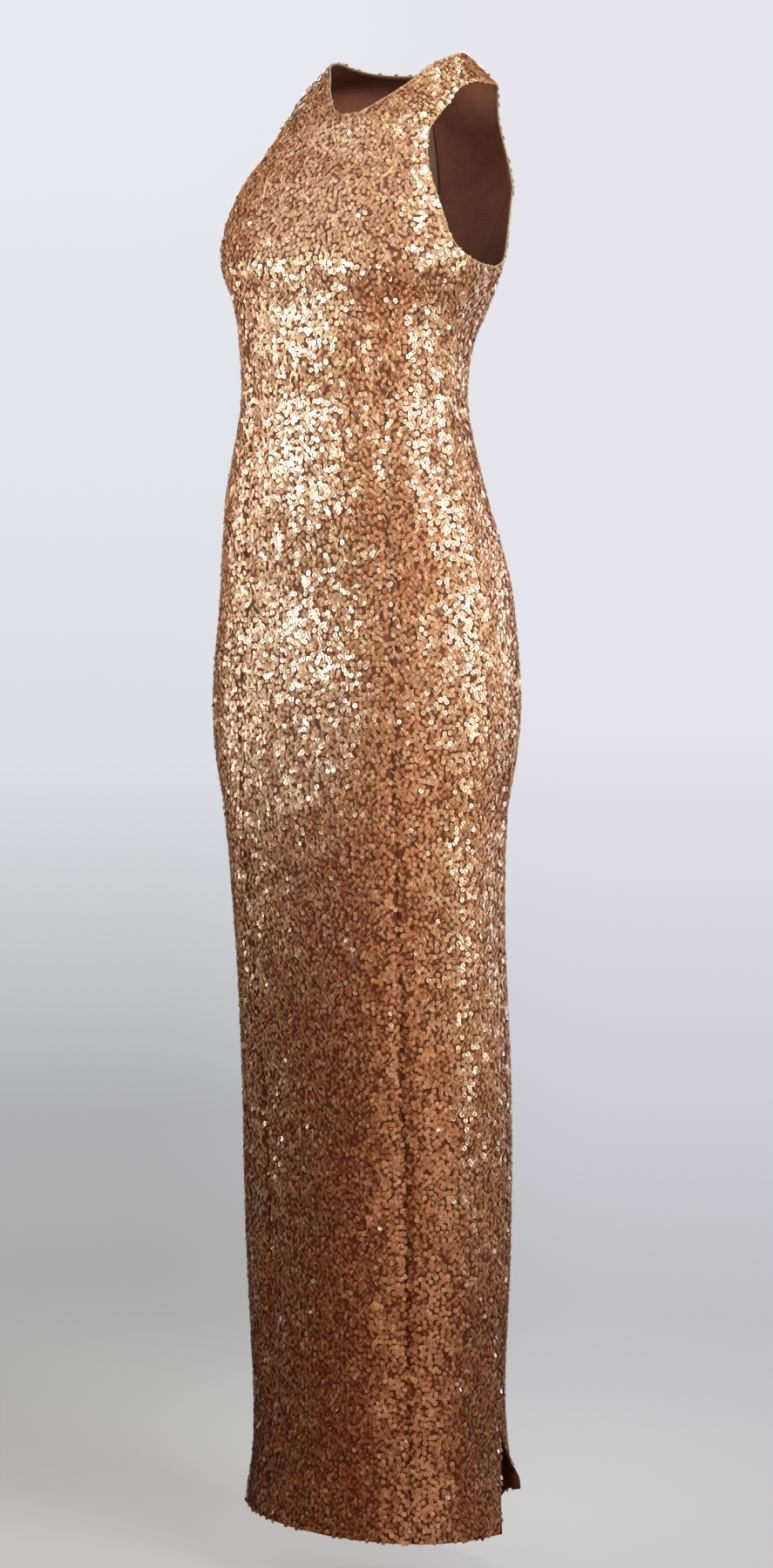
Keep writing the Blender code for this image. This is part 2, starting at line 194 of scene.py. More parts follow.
print("front princess seam at the hips:", round(math.degrees(seam_turn(-0.64)), 1), "degrees")

# %% [markdown]
# ## Creases
# Sewn cloth is never a perfect loft. It dips a little along each seam, where the threads pull, and a long
# skirt hangs in a few soft folds. Each fold here is a listed row: its turn, the heights of its two ends, its
# half width as a turn and its depth, with a plus for a ridge and a minus for a trough. No two are alike, and
# the back, which the photograph does not show, has folds of the same kind.

# %% Seam troughs and folds
SIDE_SEAM_TURN = math.radians(97)
SEAM_DIP = 0.0017
SEAM_DIP_WIDTH = 0.0045
SEAM_TOP = -0.150
ZIP_END = -0.580
SEAM_FADE = 0.03
FOLDS = [
    (32, -1.46, -0.86, 9, -0.0034),
    (-28, -1.49, -0.98, 8, -0.0026),
    (4, -1.48, -1.05, 10, 0.0020),
    (60, -1.45, -0.92, 9, 0.0026),
    (78, -1.49, -1.10, 7, -0.0020),
    (-62, -1.47, -0.95, 10, 0.0024),
    (-84, -1.48, -1.15, 7, -0.0018),
    (34, -0.46, -0.20, 6, -0.0060),
    (-35, -0.44, -0.22, 9, -0.0034),
    (70, -0.45, -0.28, 8, -0.0016),
    (-72, -0.43, -0.27, 8, -0.0014),
    (128, -1.47, -0.88, 10, -0.0030),
    (-122, -1.49, -0.93, 9, -0.0026),
    (158, -1.48, -1.02, 9, 0.0024),
    (-162, -1.46, -0.90, 10, 0.0028),
    (148, -0.48, -0.24, 9, -0.0030),
    (-146, -0.46, -0.25, 9, -0.0028),
]


def fold_height(turn, height):
    """How far the folds lift or sink the cloth."""
    lift = 0.0
    degrees = math.degrees(turn)
    for middle, low, high, width, depth in FOLDS:
        aside = (degrees - middle) / width
        along = (height - low) / (high - low)
        if abs(aside) < 3 and 0 < along < 1:
            lift += depth * math.exp(-aside * aside) * math.sin(math.pi * along) ** 1.5
    return lift


def seam_dip(turn, height):
    """How far the cloth dips beside its seams. The centre back dips only below the zip, whose tape holds it
    flat."""
    around = abs(turn)
    half = section(height)[0]
    near = [seam_turn(height), SIDE_SEAM_TURN, seam_turn(height, behind=True)]
    away = min(abs(around - seam) for seam in near) * half
    dip = smooth((SEAM_TOP - height) / SEAM_FADE) * math.exp(-((away / SEAM_DIP_WIDTH) ** 2))
    behind = abs(around - math.pi) * half
    dip += smooth((ZIP_END - height) / SEAM_FADE) * math.exp(-((behind / SEAM_DIP_WIDTH) ** 2))
    return -SEAM_DIP * dip


print("folds:", len(FOLDS))

# %% [markdown]
# ## Panels
# The gown is cut like the real one: a centre front on the fold, two side fronts, two side backs and two
# centre backs, with princess seams between them. A panel is a grid of rows from the hem up. The yokes above
# the chest narrow to the shoulder straps, so they have tables of their own: the inner edge runs up the
# centre line and along the neckline, the outer edge along the armhole, as x and height of each.

# %% Yokes and armholes
FRONT_YOKE = [
    (0.0000, -0.1330, 0.1090, -0.1330),
    (0.0000, -0.0990, 0.0940, -0.1050),
    (0.0000, -0.0635, 0.0856, -0.0800),
    (0.0140, -0.0605, 0.0858, -0.0660),
    (0.0290, -0.0480, 0.0885, -0.0500),
    (0.0445, -0.0321, 0.0890, -0.0375),
    (0.0565, -0.0150, 0.0950, -0.0283),
    (0.0735, 0.0000, 0.1040, -0.0300),
]
BACK_YOKE = [
    (0.0000, -0.1330, 0.1170, -0.1330),
    (0.0000, -0.0750, 0.1060, -0.1020),
    (0.0000, -0.0190, 0.1000, -0.0780),
    (0.0190, -0.0180, 0.0985, -0.0620),
    (0.0370, -0.0150, 0.0985, -0.0490),
    (0.0530, -0.0105, 0.0990, -0.0390),
    (0.0660, -0.0050, 0.1010, -0.0330),
    (0.0735, 0.0000, 0.1040, -0.0300),
]
NECK_ROW = 2
UNDERARM = -0.214
ARMHOLE_FRONT = [(0.00, -0.1330), (0.19, -0.1570), (0.42, -0.1880), (0.68, -0.2060), (1.00, UNDERARM)]
ARMHOLE_BACK = [(0.00, -0.1330), (0.20, -0.1600), (0.45, -0.1890), (0.70, -0.2060), (1.00, UNDERARM)]
SEAM_GAP = 0.0003

# %% How fine the cloth is
SKIRT_TOP = -0.660
SKIRT_ROWS = 120
BODICE_ROWS = 80
YOKE_STEPS = 9
CENTRE_COLUMNS = 18
SIDE_COLUMNS = 20


def row_heights():
    """Row heights from the hem to the foot of the yokes."""
    hem, yoke = -GOWN_LENGTH, FRONT_YOKE[0][1]
    heights = [hem + (SKIRT_TOP - hem) * k / SKIRT_ROWS for k in range(SKIRT_ROWS)]
    heights += [SKIRT_TOP + (yoke - SKIRT_TOP) * k / BODICE_ROWS for k in range(BODICE_ROWS + 1)]
    return heights


HEIGHTS = row_heights()
NECK_MESH_ROW = len(HEIGHTS) - 1 + NECK_ROW * YOKE_STEPS
print("rows of a side panel:", len(HEIGHTS))


# %% Rows of a centre panel
def yoke_steps(count):
    """Steps up a yoke table, closer together near the shoulder, where the cloth turns over."""
    steps = [k / YOKE_STEPS for k in range(1, (count - 2) * YOKE_STEPS + 1)]
    for k in range(1, YOKE_STEPS + 1):
        steps.append(count - 2 + math.sin(math.pi / 2 * k / YOKE_STEPS))
    return steps


def centre_rows(yoke, behind):
    """The inner and outer ends of each row as (turn, height). The neckline is level where it crosses the
    centre line, so its mirrored row stands before it in the table."""
    middle = math.pi if behind else 0.0
    rows = [((middle, height), (seam_turn(height, behind), height)) for height in HEIGHTS]
    table = [(k, *row) for k, row in enumerate(yoke)]
    _, next_x, next_z, _, _ = table[NECK_ROW + 1]
    above = [(NECK_ROW - 1, -next_x, next_z, 0, 0), *table[NECK_ROW:]]
    for step in yoke_steps(len(table)):
        part = table[:NECK_ROW + 1] if step <= NECK_ROW else above
        inner_x, inner_z, _, _ = blend(part, step)
        inner_x = 0.0 if step <= NECK_ROW else max(0.0, inner_x)
        _, _, outer_x, outer_z = blend(table, step)
        rows.append(((turn_at(inner_x, inner_z, behind), inner_z),
                     (turn_at(outer_x, outer_z, behind), outer_z)))
    return rows


def between(start, end, u):
    """A point of a row, u of the way along, as (turn, height)."""
    return tuple(a + (b - a) * u for a, b in zip(start, end))


def trim(end, sign):
    """Move a row's end off its seam by half the seam gap."""
    turn, height = end
    return turn + sign * SEAM_GAP / 2 / section(min(height, -HEIGHT_STEP))[0], height


print("rows of a centre panel:", len(centre_rows(FRONT_YOKE, False)))

# %% [markdown]
# ## Slits, and the two sides
# Below the top of each slit the free edges draw apart and curl out, and the back corners lift a little.
# The wearer's right side is the left side mirrored, with its hem a touch higher and its shoulder lower,
# because nothing that hangs is quite even.

# %% Side points and mirroring
SLIT_TOP = -1.385
SLIT_SPREAD_FRONT = math.radians(12)
SLIT_SPREAD_BACK = math.radians(22)
CORNER_FLARE = 0.011
BACK_CORNER_RISE = 0.029
BACK_RISE_SHARE = 0.6
RIGHT_HEM_RISE = 0.008
RIGHT_SHOULDER_DROP = 0.006
SHOULDER_DROP_DEPTH = 0.070


def near_hem(height):
    """Ease from 0 at the top of the slits to 1 at the hem."""
    return smooth((SLIT_TOP - height) / (SLIT_TOP + GOWN_LENGTH))


def side_point(u, row_height, behind, side):
    """A point of a side panel, u from the princess seam to the side seam."""
    top = blend(ARMHOLE_BACK if behind else ARMHOLE_FRONT, u)[0]
    height = row_height
    if row_height >= SKIRT_TOP:
        share = (row_height - SKIRT_TOP) / (FRONT_YOKE[0][1] - SKIRT_TOP)
        height = SKIRT_TOP + (top - SKIRT_TOP) * share
    sign = -1 if behind else 1
    inner, _ = trim((seam_turn(height, behind), height), sign)
    outer, _ = trim((SIDE_SEAM_TURN, height), -sign)
    open_by = near_hem(height)
    edge = u**3
    turn = inner + (outer - inner) * u
    turn -= sign * (SLIT_SPREAD_BACK if behind else SLIT_SPREAD_FRONT) * open_by * edge
    lift = fold_height(side * turn, height) + seam_dip(turn, height) * (1 - open_by * edge)
    point = form(turn, height) + outward(turn, height) * (CORNER_FLARE * open_by**2 * edge + lift)
    if behind:
        point.z += BACK_CORNER_RISE * open_by**2 * smooth(u / BACK_RISE_SHARE)
    return point


def centre_point(turn, height, side):
    """A point of a centre panel on the given side, before it is mirrored."""
    lift = fold_height(side * turn, height) + seam_dip(turn, height)
    return form(turn, height) + outward(turn, height) * lift


def mirror(point, side):
    """The same point on the wearer's left (side 1) or right (side -1)."""
    if side > 0:
        return point.copy()
    rise = RIGHT_HEM_RISE * near_hem(point.z) * point.x / SECTIONS[0][1]
    aside = smooth(point.x / SECTIONS[-1][1])
    drop = RIGHT_SHOULDER_DROP * aside * smooth(1 + point.z / SHOULDER_DROP_DEPTH)
    return Vector((-point.x, point.y, point.z + rise - drop))


print("slits are", round(GOWN_LENGTH + SLIT_TOP, 3), "m long")

# %% [markdown]
# ## From grid to cloth
# Each grid becomes a mesh of quads. Two things are stored on it for later: a UV map in metres, so that the
# weave keeps its size, and how thickly each point is covered, which drops beside a seam because a sewer
# leaves the seam allowance bare.

# %% Make a panel from its grid
SEAM_COVER = 0.60
COVER_MARGIN = 0.0045
MERGE_DISTANCE = 0.00002


def panel_mesh(name, grid, flip):
    """A sheet of quads from rows of points, with the UV map 'cloth' and the attribute 'cover'."""
    shape = bmesh.new()
    uv_layer = shape.loops.layers.uv.new("cloth")
    cover_layer = shape.verts.layers.float.new("cover")
    rows, uv_of = [], {}
    for row in grid:
        made, across = [], 0.0
        for k, point in enumerate(row):
            vertex = shape.verts.new(point)
            across += (point - row[k - 1]).length if k else 0.0
            uv_of[vertex] = across
            made.append(vertex)
        for vertex in made:
            edge = min(uv_of[vertex], across - uv_of[vertex])
            sewn = smooth((SEAM_TOP - vertex.co.z) / SEAM_FADE)
            vertex[cover_layer] = 1 - (1 - SEAM_COVER) * sewn * (1 - smooth(edge / COVER_MARGIN))
            uv_of[vertex] -= across / 2
        rows.append(made)
    for lower, upper in zip(rows, rows[1:]):
        for k in range(len(lower) - 1):
            corners = [lower[k], lower[k + 1], upper[k + 1], upper[k]]
            face = shape.faces.new(corners[::-1] if flip else corners)
            face.smooth = True
            for loop in face.loops:
                loop[uv_layer].uv = (uv_of[loop.vert], loop.vert.co.z)
    return to_mesh(name, shape)


def even(count):
    """Fractions from 0 to 1."""
    return [k / count for k in range(count + 1)]


# %% Grids of the seven panels
def front_centre_grid():
    """Centre front up to the neckline's lowest point, from right to left."""
    grid = []
    for inner, outer in centre_rows(FRONT_YOKE, False)[:NECK_MESH_ROW + 1]:
        outer = trim(outer, -1)
        left = [centre_point(*between(inner, outer, u), 1) for u in even(CENTRE_COLUMNS)]
        right = [mirror(centre_point(*between(inner, outer, u), -1), -1) for u in even(CENTRE_COLUMNS)]
        grid.append(right[:0:-1] + left)
    return grid


def strap_grid(yoke, behind, side):
    """A shoulder strap above the neckline's lowest point, from the neck to the armhole."""
    rows = centre_rows(yoke, behind)[NECK_MESH_ROW:]
    grid = []
    for k, (inner, outer) in enumerate(rows):
        if k == len(rows) - 1:
            sign = 1 if behind else -1
            inner, outer = trim(inner, sign), trim(outer, sign)
        grid.append([mirror(centre_point(*between(inner, outer, u), side), side)
                     for u in even(CENTRE_COLUMNS)])
    return grid


def back_centre_grid(side):
    """A whole centre back, from the zip to the princess seam and up to the shoulder."""
    rows = centre_rows(BACK_YOKE, True)
    grid = []
    for k, (inner, outer) in enumerate(rows):
        shoulder = k == len(rows) - 1
        if k <= NECK_MESH_ROW or shoulder:
            inner = trim(inner, -1 if k <= NECK_MESH_ROW else 1)
        if k < len(HEIGHTS) or shoulder:
            outer = trim(outer, 1)
        grid.append([mirror(centre_point(*between(inner, outer, u), side), side)
                     for u in even(CENTRE_COLUMNS)])
    return grid


def side_grid(side, behind):
    """A side front or a side back."""
    return [[mirror(side_point(u, height, behind, side), side) for u in even(SIDE_COLUMNS)]
            for height in HEIGHTS]


def join_meshes(name, meshes):
    """Several meshes as one, with the points that they share merged."""
    shape = bmesh.new()
    for mesh in meshes:
        shape.from_mesh(mesh)
    bmesh.ops.remove_doubles(shape, verts=shape.verts, dist=MERGE_DISTANCE)
    return to_mesh(name, shape)


def cut_panels():
    """All seven panels as open meshes, by node name."""
    made = {}
    body = panel_mesh("body", front_centre_grid(), False)
    straps = [panel_mesh("strap", strap_grid(FRONT_YOKE, False, side), side < 0) for side in (1, -1)]
    made["front_centre"] = join_meshes("front_centre", [body, *straps])
    for name, side in (("left", 1), ("right", -1)):
        made["front_side_" + name] = panel_mesh("front_side", side_grid(side, False), side < 0)
        made["back_side_" + name] = panel_mesh("back_side", side_grid(side, True), side > 0)
        made["back_centre_" + name] = panel_mesh("back_centre", back_centre_grid(side), side > 0)
    return made


panels = cut_panels()
for name, mesh in panels.items():
    area = sum(face.area for face in mesh.polygons)
    print(f"{name}: {len(mesh.polygons)} faces, {area:.4f} m2")

# %% [markdown]
# ## Materials
# Nodes make every finish. These helpers add a node and set its inputs in one line, which keeps the trees
# below readable.


# %% Helpers for node trees
def set_inputs(tree, node, values):
    """Set or link a node's inputs, each to a value or another node's output."""
    for key, value in values.items():
        if isinstance(value, bpy.types.NodeSocket):
            tree.links.new(value, node.inputs[key])
        else:
            node.inputs[key].default_value = value


def add_node(tree, kind, inputs=None, **settings):
    """A node with its settings and its inputs."""
    node = tree.nodes.new(kind)
    for key, value in settings.items():
        setattr(node, key, value)
    set_inputs(tree, node, inputs or {})
    return node


def new_material(name):
    """A material with an empty tree but for its Principled shader."""
    material = bpy.data.materials.new(name)
    material.use_nodes = True
    tree = material.node_tree
    return material, tree, tree.nodes["Principled BSDF"]


def ramp(tree, factor, stops):
    """A colour ramp through (position, colour) stops."""
    node = add_node(tree, "ShaderNodeValToRGB", {"Fac": factor})
    elements = node.color_ramp.elements
    while len(elements) < len(stops):
        elements.new(0.5)
    for element, (position, colour) in zip(elements, stops):
        element.position = position
        element.color = (*colour, 1.0)
    return node.outputs["Color"]


def maths(tree, operation, *values):
    """Arithmetic on values or sockets."""
    return add_node(tree, "ShaderNodeMath", dict(enumerate(values)), operation=operation).outputs["Value"]


def vector_maths(tree, operation, a, b):
    """Vector arithmetic on two values or sockets."""
    inputs = {0: a, "Scale" if operation == "SCALE" else 1: b}
    return add_node(tree, "ShaderNodeVectorMath", inputs, operation=operation).outputs["Vector"]


def length_of(tree, vector):
    """The length of a vector."""
    return add_node(tree, "ShaderNodeVectorMath", {0: vector}, operation="LENGTH").outputs["Value"]


def object_place(tree):
    """The Object coordinates."""
    return add_node(tree, "ShaderNodeTexCoord").outputs["Object"]


def noise(tree, vector, scale, detail):
    """A cloudy pattern."""
    return add_node(tree, "ShaderNodeTexNoise", {"Vector": vector, "Scale": scale, "Detail": detail})


def remap(tree, value, ends, **settings):
    """A value carried from one range to another: (from low, from high, to low, to high)."""
    names = ("From Min", "From Max", "To Min", "To Max")
    inputs = {"Value": value, **dict(zip(names, ends))}
    return add_node(tree, "ShaderNodeMapRange", inputs, **settings).outputs["Result"]


def bumped(tree, height, strength, distance):
    """A normal that follows a height."""
    return add_node(tree, "ShaderNodeBump", {
        "Height": height, "Strength": strength, "Distance": distance}).outputs["Normal"]


def ribbed(name, scale, distortion, stops, strength, distance, roughness):
    """A woven material with diagonal ribs."""
    material, tree, shader = new_material(name)
    rib = add_node(tree, "ShaderNodeTexWave", {
        "Vector": object_place(tree), "Scale": scale, "Distortion": distortion},
        bands_direction="DIAGONAL").outputs["Fac"]
    set_inputs(tree, shader, {"Base Color": ramp(tree, rib, stops), "Roughness": roughness,
                              "Normal": bumped(tree, rib, strength, distance)})
    return material


print("node helpers ready")

# %% [markdown]
# ## Sequins
# A sequin is a thin round of coloured film with a hole for the thread. The film is half clear and half
# mirror, so one sequin is rust where its neighbour is gold, and it flashes white where it turns a lamp
# towards us. The tint is an attribute that Geometry Nodes gives to each sequin, and the hole is drawn from
# the distance to the sequin's middle, which costs no faces.

# %% Sequin film
DEEP_RED = (0.16, 0.018, 0.006)
RUST = (0.27, 0.046, 0.013)
COPPER = (0.36, 0.084, 0.024)
GOLD = (0.36, 0.155, 0.040)
ROSE = (0.46, 0.15, 0.070)
CREAM = (0.56, 0.32, 0.15)
HOLE = (0.09, 0.016, 0.006)


def sequin_material():
    """Film whose tint changes from one sequin to the next, with a dark hole and clouded wear."""
    material, tree, shader = new_material("sequin_film")
    tint = add_node(tree, "ShaderNodeAttribute", attribute_name="tint").outputs["Fac"]
    disc = add_node(tree, "ShaderNodeAttribute", attribute_name="disc").outputs["Vector"]
    away = length_of(tree, disc)
    film = ramp(tree, tint, [(0.0, DEEP_RED), (0.18, RUST), (0.42, COPPER), (0.68, GOLD), (0.88, ROSE),
                             (1.0, CREAM)])
    cloud = noise(tree, object_place(tree), 900.0, 2.0).outputs["Fac"]
    wear = remap(tree, cloud, (0.35, 0.75, 0.88, 1.12))
    worn = vector_maths(tree, "MULTIPLY", film, wear)
    in_hole = remap(tree, away, (0.15, 0.21, 1.0, 0.0))
    colour = add_node(tree, "ShaderNodeMix", data_type="RGBA")
    set_inputs(tree, colour, {0: in_hole, 6: worn, 7: (*HOLE, 1.0)})
    rough = remap(tree, cloud, (0.0, 1.0, 0.34, 0.46))
    cup = maths(tree, "POWER", away, 2.0)
    set_inputs(tree, shader, {
        "Base Color": colour.outputs[2], "Roughness": rough, "IOR": 2.0,
        "Specular IOR Level": 1.0, "Specular Tint": (1.0, 0.88, 0.56, 1.0),
        "Coat Weight": 0.9, "Coat Roughness": 0.19, "Coat IOR": 1.8,
        "Normal": bumped(tree, cup, 0.5, 0.0002), "Sheen Weight": 0.06,
        "Sheen Roughness": 0.4, "Sheen Tint": (0.95, 0.72, 0.74, 1.0)})
    return material


sequin_film = sequin_material()
print("made", sequin_film.name)


# %% Net, thread and binding
def net_material():
    """Fine brown net on a backing: small holes between twisted yarns."""
    material, tree, shader = new_material("backed_net")
    uv = add_node(tree, "ShaderNodeUVMap", uv_map="cloth").outputs["UV"]
    cells = add_node(tree, "ShaderNodeTexVoronoi", {"Vector": uv, "Scale": 700.0, "Randomness": 0.15},
                     feature="DISTANCE_TO_EDGE")
    yarn = remap(tree, cells.outputs["Distance"], (0.05, 0.22, 1.0, 0.0))
    blended = maths(tree, "MULTIPLY", yarn, noise(tree, uv, 60.0, 4.0).outputs["Fac"])
    colour = ramp(tree, blended, [(0.0, (0.10, 0.022, 0.008)), (0.6, (0.26, 0.078, 0.027))])
    set_inputs(tree, shader, {"Base Color": colour, "Roughness": 0.85,
                              "Normal": bumped(tree, yarn, 0.6, 0.0003),
                              "Sheen Weight": 0.05, "Sheen Tint": (0.8, 0.5, 0.4, 1.0)})
    return material


def thread_material():
    """Twisted metallic thread, gold to cream."""
    material, tree, shader = new_material("gold_thread")
    tint = add_node(tree, "ShaderNodeAttribute", attribute_name="tint").outputs["Fac"]
    twist = add_node(tree, "ShaderNodeTexWave", {
        "Vector": object_place(tree), "Scale": 600.0, "Distortion": 2.0}, bands_direction="DIAGONAL")
    colour = ramp(tree, tint, [(0.0, (0.42, 0.115, 0.036)), (0.35, (0.58, 0.21, 0.074)),
                               (0.72, (0.68, 0.31, 0.12)), (1.0, (0.90, 0.61, 0.33))])
    set_inputs(tree, shader, {"Base Color": colour, "Roughness": 0.40, "IOR": 1.9,
                              "Specular IOR Level": 0.9, "Specular Tint": (1.0, 0.92, 0.60, 1.0),
                              "Sheen Weight": 0.10, "Sheen Tint": (0.95, 0.70, 0.70, 1.0),
                              "Normal": bumped(tree, twist.outputs["Fac"], 0.4, 0.0002)})
    return material


backed_net = net_material()
gold_thread = thread_material()
edge_binding = ribbed("edge_binding", 450.0, 3.0,
                      [(0.0, (0.26, 0.17, 0.07)), (1.0, (0.52, 0.40, 0.21))], 0.6, 0.0003, 0.7)
print("made", backed_net.name, gold_thread.name, "and", edge_binding.name)

# %% [markdown]
# ## Sewing on the sequins
# Forty-six thousand sequins can't be placed by hand. Geometry Nodes scatter points over each panel no closer
# than a set spacing, stand a round on each, and tilt it a little, because a sequin held by one thread never
# lies quite flat. A little of the tilt is each sequin's own and most is shared with its neighbours, which
# is why real sequins flash in clusters.

# %% Geometry Nodes helpers
def new_tree(name, inputs):
    """A geometry tree with number inputs, of which Seed is whole: the tree, its inputs and its last node."""
    tree = bpy.data.node_groups.new(name, "GeometryNodeTree")
    tree.interface.new_socket("Geometry", in_out="INPUT", socket_type="NodeSocketGeometry")
    for label in inputs:
        kind = "NodeSocketInt" if label == "Seed" else "NodeSocketFloat"
        tree.interface.new_socket(label, in_out="INPUT", socket_type=kind)
    tree.interface.new_socket("Geometry", in_out="OUTPUT", socket_type="NodeSocketGeometry")
    return tree, tree.nodes.new("NodeGroupInput").outputs, tree.nodes.new("NodeGroupOutput")


def random_vector(tree, seed):
    """A random vector for each point, from -1 to 1 along each axis."""
    return add_node(tree, "FunctionNodeRandomValue", {0: (-1, -1, -1), 1: (1, 1, 1), "Seed": seed},
                    data_type="FLOAT_VECTOR").outputs[0]


def random_number(tree, seed, low=0.0, high=1.0):
    """A random number for each point."""
    return add_node(tree, "FunctionNodeRandomValue", {2: low, 3: high, "Seed": seed},
                    data_type="FLOAT").outputs[1]


print("geometry helpers ready")


# %% Scatter, stand off and tilt
DENSITY = 150000.0


def scatter(tree, given):
    """Points stood off the cloth, with the rotation that faces outwards with Y up the cloth."""
    spread = add_node(tree, "GeometryNodeDistributePointsOnFaces", {
        "Mesh": given["Geometry"], "Distance Min": given["Spacing"],
        "Density Max": DENSITY, "Seed": given["Seed"]}, distribute_method="POISSON")
    cover = add_node(tree, "GeometryNodeInputNamedAttribute", {"Name": "cover"}, data_type="FLOAT")
    set_inputs(tree, spread, {"Density Factor": cover.outputs["Attribute"]})
    normal = spread.outputs["Normal"]
    lift = maths(tree, "MULTIPLY", given["Stand-off"], random_number(tree, 11, 0.6, 1.4))
    stood = add_node(tree, "GeometryNodeSetPosition", {
        "Geometry": spread.outputs["Points"], "Offset": vector_maths(tree, "SCALE", normal, lift)})
    facing = add_node(tree, "FunctionNodeAlignRotationToVector", {"Vector": normal}, axis="Z")
    upright = add_node(tree, "FunctionNodeAlignRotationToVector", {
        "Rotation": facing.outputs["Rotation"], "Vector": (0.0, 0.0, 1.0)}, axis="Y", pivot_axis="Z")
    return stood.outputs["Geometry"], upright.outputs["Rotation"]


def turned(tree, rotation, angles):
    """A rotation turned further by angles in its own space."""
    euler = add_node(tree, "FunctionNodeEulerToRotation", {"Euler": angles})
    node = add_node(tree, "FunctionNodeRotateRotation", {
        "Rotation": rotation, "Rotate By": euler.outputs["Rotation"]}, rotation_space="LOCAL")
    return node.outputs["Rotation"]


def paint(tree, leave, geometry, material, smoothly):
    """Shade a geometry, give it its material and send it out of the tree."""
    shaded = add_node(tree, "GeometryNodeSetShadeSmooth", {"Geometry": geometry, "Shade Smooth": smoothly})
    painted = add_node(tree, "GeometryNodeSetMaterial", {
        "Geometry": shaded.outputs["Geometry"], "Material": material})
    tree.links.new(painted.outputs["Geometry"], leave.inputs["Geometry"])


def finish_tree(tree, leave, geometry, material):
    """Give each instance its tint, make the instances real and paint them."""
    tint = add_node(tree, "GeometryNodeStoreNamedAttribute", {
        "Geometry": geometry, "Name": "tint", "Value": random_number(tree, 23)},
        data_type="FLOAT", domain="INSTANCE")
    real = add_node(tree, "GeometryNodeRealizeInstances", {"Geometry": tint.outputs["Geometry"]})
    paint(tree, leave, real.outputs["Geometry"], material, False)


def sequin_tree():
    """Rounds over the cloth."""
    tree, given, leave = new_tree("sew_sequins", [
        "Spacing", "Radius", "Stand-off", "Own tilt", "Shared tilt", "Patch size", "Seed"])
    points, rotation = scatter(tree, given)
    loose = maths(tree, "MULTIPLY_ADD", maths(tree, "POWER", random_number(tree, 5), 14.0), 3.0, 1.0)
    both = vector_maths(tree, "ADD", random_vector(tree, 3), random_vector(tree, 4))
    own = vector_maths(tree, "SCALE", both, maths(tree, "MULTIPLY", given["Own tilt"], loose))
    position = add_node(tree, "GeometryNodeInputPosition").outputs["Position"]
    patch = noise(tree, position, maths(tree, "DIVIDE", 1.0, given["Patch size"]), 1.0)
    centred = vector_maths(tree, "SUBTRACT", patch.outputs["Color"], (0.5, 0.5, 0.5))
    shared = vector_maths(tree, "SCALE", centred, given["Shared tilt"])
    angles = vector_maths(tree, "MULTIPLY", vector_maths(tree, "ADD", own, shared), (1.0, 1.0, 0.0))
    disc = add_node(tree, "GeometryNodeMeshCircle", {"Vertices": 8, "Radius": 1.0}, fill_type="NGON")
    drawn = add_node(tree, "GeometryNodeStoreNamedAttribute", {
        "Geometry": disc.outputs["Mesh"], "Name": "disc", "Value": position},
        data_type="FLOAT_VECTOR", domain="POINT")
    size = maths(tree, "MULTIPLY", given["Radius"], random_number(tree, 7, 0.93, 1.05))
    placed = add_node(tree, "GeometryNodeInstanceOnPoints", {
        "Points": points, "Instance": drawn.outputs["Geometry"],
        "Rotation": turned(tree, rotation, angles), "Scale": size})
    finish_tree(tree, leave, placed.outputs["Instances"], sequin_film)
    return tree


def stitch_tree():
    """Short bent stitches of thread that lie over the sequins' edges, as a zigzag does."""
    tree, given, leave = new_tree("sew_threads", [
        "Spacing", "Length", "Width", "Stand-off", "Lean", "Seed"])
    points, rotation = scatter(tree, given)
    strip = add_node(tree, "GeometryNodeMeshGrid", {"Size X": 1.0, "Size Y": 1.0, "Vertices X": 2,
                                                    "Vertices Y": 3})
    position = add_node(tree, "GeometryNodeInputPosition").outputs["Position"]
    parts = add_node(tree, "ShaderNodeSeparateXYZ", {"Vector": position})
    sag = maths(tree, "MULTIPLY", maths(tree, "POWER", parts.outputs["Y"], 2.0), -0.5)
    bend = add_node(tree, "ShaderNodeCombineXYZ", {"Z": sag})
    bowed = add_node(tree, "GeometryNodeSetPosition", {"Geometry": strip.outputs["Mesh"],
                                                       "Offset": bend.outputs["Vector"]})
    side = maths(tree, "SIGN", random_number(tree, 31, -1.0, 1.0))
    lean = maths(tree, "MULTIPLY", maths(tree, "MULTIPLY", side, given["Lean"]),
                 random_number(tree, 37, 0.5, 1.5))
    angles = add_node(tree, "ShaderNodeCombineXYZ", {"Z": lean, "X": random_number(tree, 41, -0.15, 0.15)})
    scale = add_node(tree, "ShaderNodeCombineXYZ", {
        "X": given["Width"], "Z": given["Length"],
        "Y": maths(tree, "MULTIPLY", given["Length"], random_number(tree, 43, 0.7, 1.3))})
    placed = add_node(tree, "GeometryNodeInstanceOnPoints", {
        "Points": points, "Instance": bowed.outputs["Geometry"],
        "Rotation": turned(tree, rotation, angles.outputs["Vector"]), "Scale": scale.outputs["Vector"]})
    finish_tree(tree, leave, placed.outputs["Instances"], gold_thread)
    return tree


sew_sequins = sequin_tree()
sew_threads = stitch_tree()
print("trees:", sew_sequins.name, sew_threads.name)


# %% Run a tree on a mesh
def grow(name, mesh, tree, values):
    """Run a geometry tree on a mesh with its inputs set, and keep the result as a plain mesh."""
    carrier = place(name + "_carrier", mesh)
    step = carrier.modifiers.new("grow", "NODES")
    step.node_group = tree
    for item in tree.interface.items_tree:
        if item.item_type == "SOCKET" and item.in_out == "INPUT" and item.name in values:
            step[item.identifier] = values[item.name]
    evaluated = carrier.evaluated_get(bpy.context.evaluated_depsgraph_get())
    grown = bpy.data.meshes.new_from_object(evaluated)
    carrier.modifiers.remove(step)
    bpy.data.objects.remove(carrier)
    grown.name = name
    return place(name, grown)


